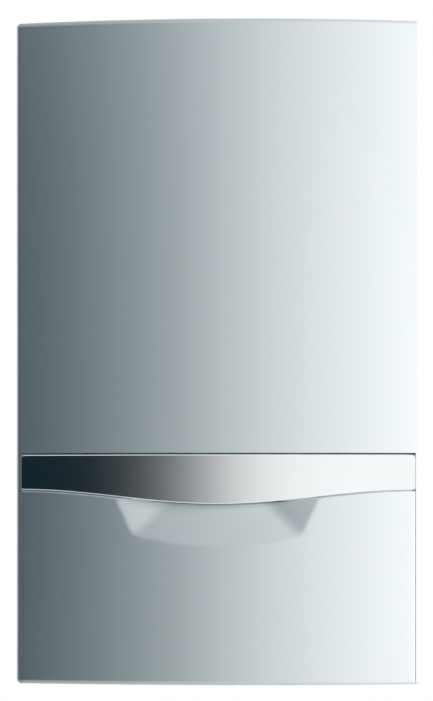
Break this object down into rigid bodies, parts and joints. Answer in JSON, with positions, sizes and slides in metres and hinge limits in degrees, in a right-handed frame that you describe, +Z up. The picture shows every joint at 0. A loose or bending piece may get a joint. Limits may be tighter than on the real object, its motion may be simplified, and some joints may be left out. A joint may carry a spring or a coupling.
{
  "type": "wall-hung gas boiler",
  "caption": "Wall-hung condensing gas boiler: white bowed casing, drop-down lower flap with a metallic band and finger grip, and its fan, burner, pump, valves and controls.",
  "frame": {"origin": "midway between the wall bracket's two fixing holes, on the wall plane", "axes": "+X to the right seen from the front, +Y into the wall, +Z up"},
  "size_m": [0.44, 0.338, 0.735],
  "materials": {
    "white_paint": "satin powder coat",
    "white_moulding": "satin painted moulding",
    "metallic_band": "satin metallic paint",
    "galvanised_steel": "galvanised sheet",
    "bracket_steel": "zinc plated",
    "zinc_fasteners": "zinc plated",
    "black_rubber": "matt EPDM",
    "grey_foam": "matt sealing strip",
    "pin_steel": "bright steel",
    "magnet_plastic": "moulded",
    "flue_aluminium": "white coated collar over bare socket",
    "grey_pipe": "polypropylene",
    "cast_aluminium": "as cast",
    "door_aluminium": "sand cast",
    "white_ceramic": "glazed ceramic",
    "burner_steel": "perforated stainless",
    "sight_brass": "turned",
    "fan_aluminium": "die cast",
    "black_plastic": "moulded",
    "dark_grey_plastic": "moulded",
    "valve_aluminium": "die cast",
    "yellow_pipe": "zinc and yellow coating",
    "vessel_red": "red enamel",
    "pump_casting": "dark coated",
    "pump_motor_black": "dark coated",
    "hydraulic_brass": "hot forged",
    "vent_brass": "turned",
    "valve_brass": "forged, red knob",
    "plate_steel": "pressed stainless, copper brazed",
    "copper_pipe": "drawn copper",
    "stub_copper": "drawn copper",
    "trap_plastic": "clear polypropylene",
    "hose_grey": "flexible hose",
    "control_plastic": "textured moulding",
    "panel_plastic": "fine textured moulding",
    "board_green": "lacquered board",
    "display_glass": "clear window over a dark screen",
    "gauge_body": "white dial in a dark ring",
    "needle_red": "red",
    "gauge_glass": "clear",
    "button_plastic": "moulded",
    "reset_plastic": "moulded"
  },
  "bodies": {
    "chassis": {"wall_bracket": "bracket_steel", "back_frame": "galvanised_steel", "right_side_panel": "white_paint", "left_side_panel": "white_paint", "top_plate": "white_paint", "base_plate": "galvanised_steel", "pipe_grommets": "black_rubber", "locating_studs": "pin_steel", "cover_seal": "grey_foam", "case_screws": "zinc_fasteners", "flue_adapter": "flue_aluminium", "flue_seal": "black_rubber", "test_point_caps": "black_plastic", "flue_riser": "grey_pipe", "heat_exchanger": "cast_aluminium", "burner_door": "door_aluminium", "door_gasket": "grey_foam", "burner_tube": "burner_steel", "door_nuts": "zinc_fasteners", "ignition_electrode": "white_ceramic", "sight_glass": "sight_brass", "fan_housing": "fan_aluminium", "fan_motor": "black_plastic", "venturi": "black_plastic", "air_intake_duct": "dark_grey_plastic", "mixing_duct": "fan_aluminium", "gas_valve": "valve_aluminium", "gas_valve_coils": "black_plastic", "gas_pipe": "yellow_pipe", "drum_brackets": "galvanised_steel", "expansion_vessel": "vessel_red", "pump_housing": "pump_casting", "pump_motor": "pump_motor_black", "air_vent": "vent_brass", "safety_valve": "valve_brass", "diverter_block": "hydraulic_brass", "diverter_motor": "black_plastic", "plate_exchanger": "plate_steel", "heating_pipes": "copper_pipe", "heating_stubs": "stub_copper", "water_pipes": "stub_copper", "condensate_trap": "trap_plastic", "condensate_hose": "hose_grey", "control_box": "control_plastic", "control_panel": "panel_plastic", "display": "display_glass", "circuit_boards": "board_green", "gauge_case": "gauge_body", "gauge_glass": "gauge_glass"},
    "cover": {"front_cover": "white_paint", "hinge_pins": "pin_steel", "flap_magnets": "magnet_plastic"},
    "flap": {"flap": "white_moulding", "trim_band": "metallic_band"},
    "minus_button": {"minus_button": "button_plastic"},
    "plus_button": {"plus_button": "button_plastic"},
    "reset_button": {"reset_button": "reset_plastic"},
    "gauge_needle": {"gauge_needle": "needle_red"},
    "fan_impeller": {"fan_impeller": "fan_aluminium"},
    "pump_impeller": {"pump_impeller": "dark_grey_plastic"}
  },
  "joints": [
    {"name": "cover_slide", "type": "slide", "parent": "chassis", "child": "cover", "axis": [0, -1, 0], "range_m": [0, 0.4]},
    {"name": "flap_hinge", "type": "hinge", "parent": "cover", "child": "flap", "pos_m": [0, -0.304, -0.648], "axis": [1, 0, 0], "range_deg": [0, 90]},
    {"name": "minus_button_press", "type": "slide", "parent": "chassis", "child": "minus_button", "axis": [0, 1, 0], "range_m": [0, 0.0012], "stiffness_N_per_m": 500, "springref_m": -0.002},
    {"name": "plus_button_press", "type": "slide", "parent": "chassis", "child": "plus_button", "axis": [0, 1, 0], "range_m": [0, 0.0012], "stiffness_N_per_m": 500, "springref_m": -0.002},
    {"name": "reset_button_press", "type": "slide", "parent": "chassis", "child": "reset_button", "axis": [0, 1, 0], "range_m": [0, 0.0012], "stiffness_N_per_m": 500, "springref_m": -0.002},
    {"name": "gauge_sweep", "type": "hinge", "parent": "chassis", "child": "gauge_needle", "pos_m": [-0.108, -0.2862, -0.54], "axis": [0, 1, 0], "range_deg": [-135, 135]},
    {"name": "fan_spin", "type": "hinge", "parent": "chassis", "child": "fan_impeller", "pos_m": [-0.125, -0.256, -0.066], "axis": [0, -1, 0], "continuous": true},
    {"name": "pump_spin", "type": "hinge", "parent": "chassis", "child": "pump_impeller", "pos_m": [0.13, -0.113, -0.528], "axis": [0, -1, 0], "continuous": true}
  ]
}
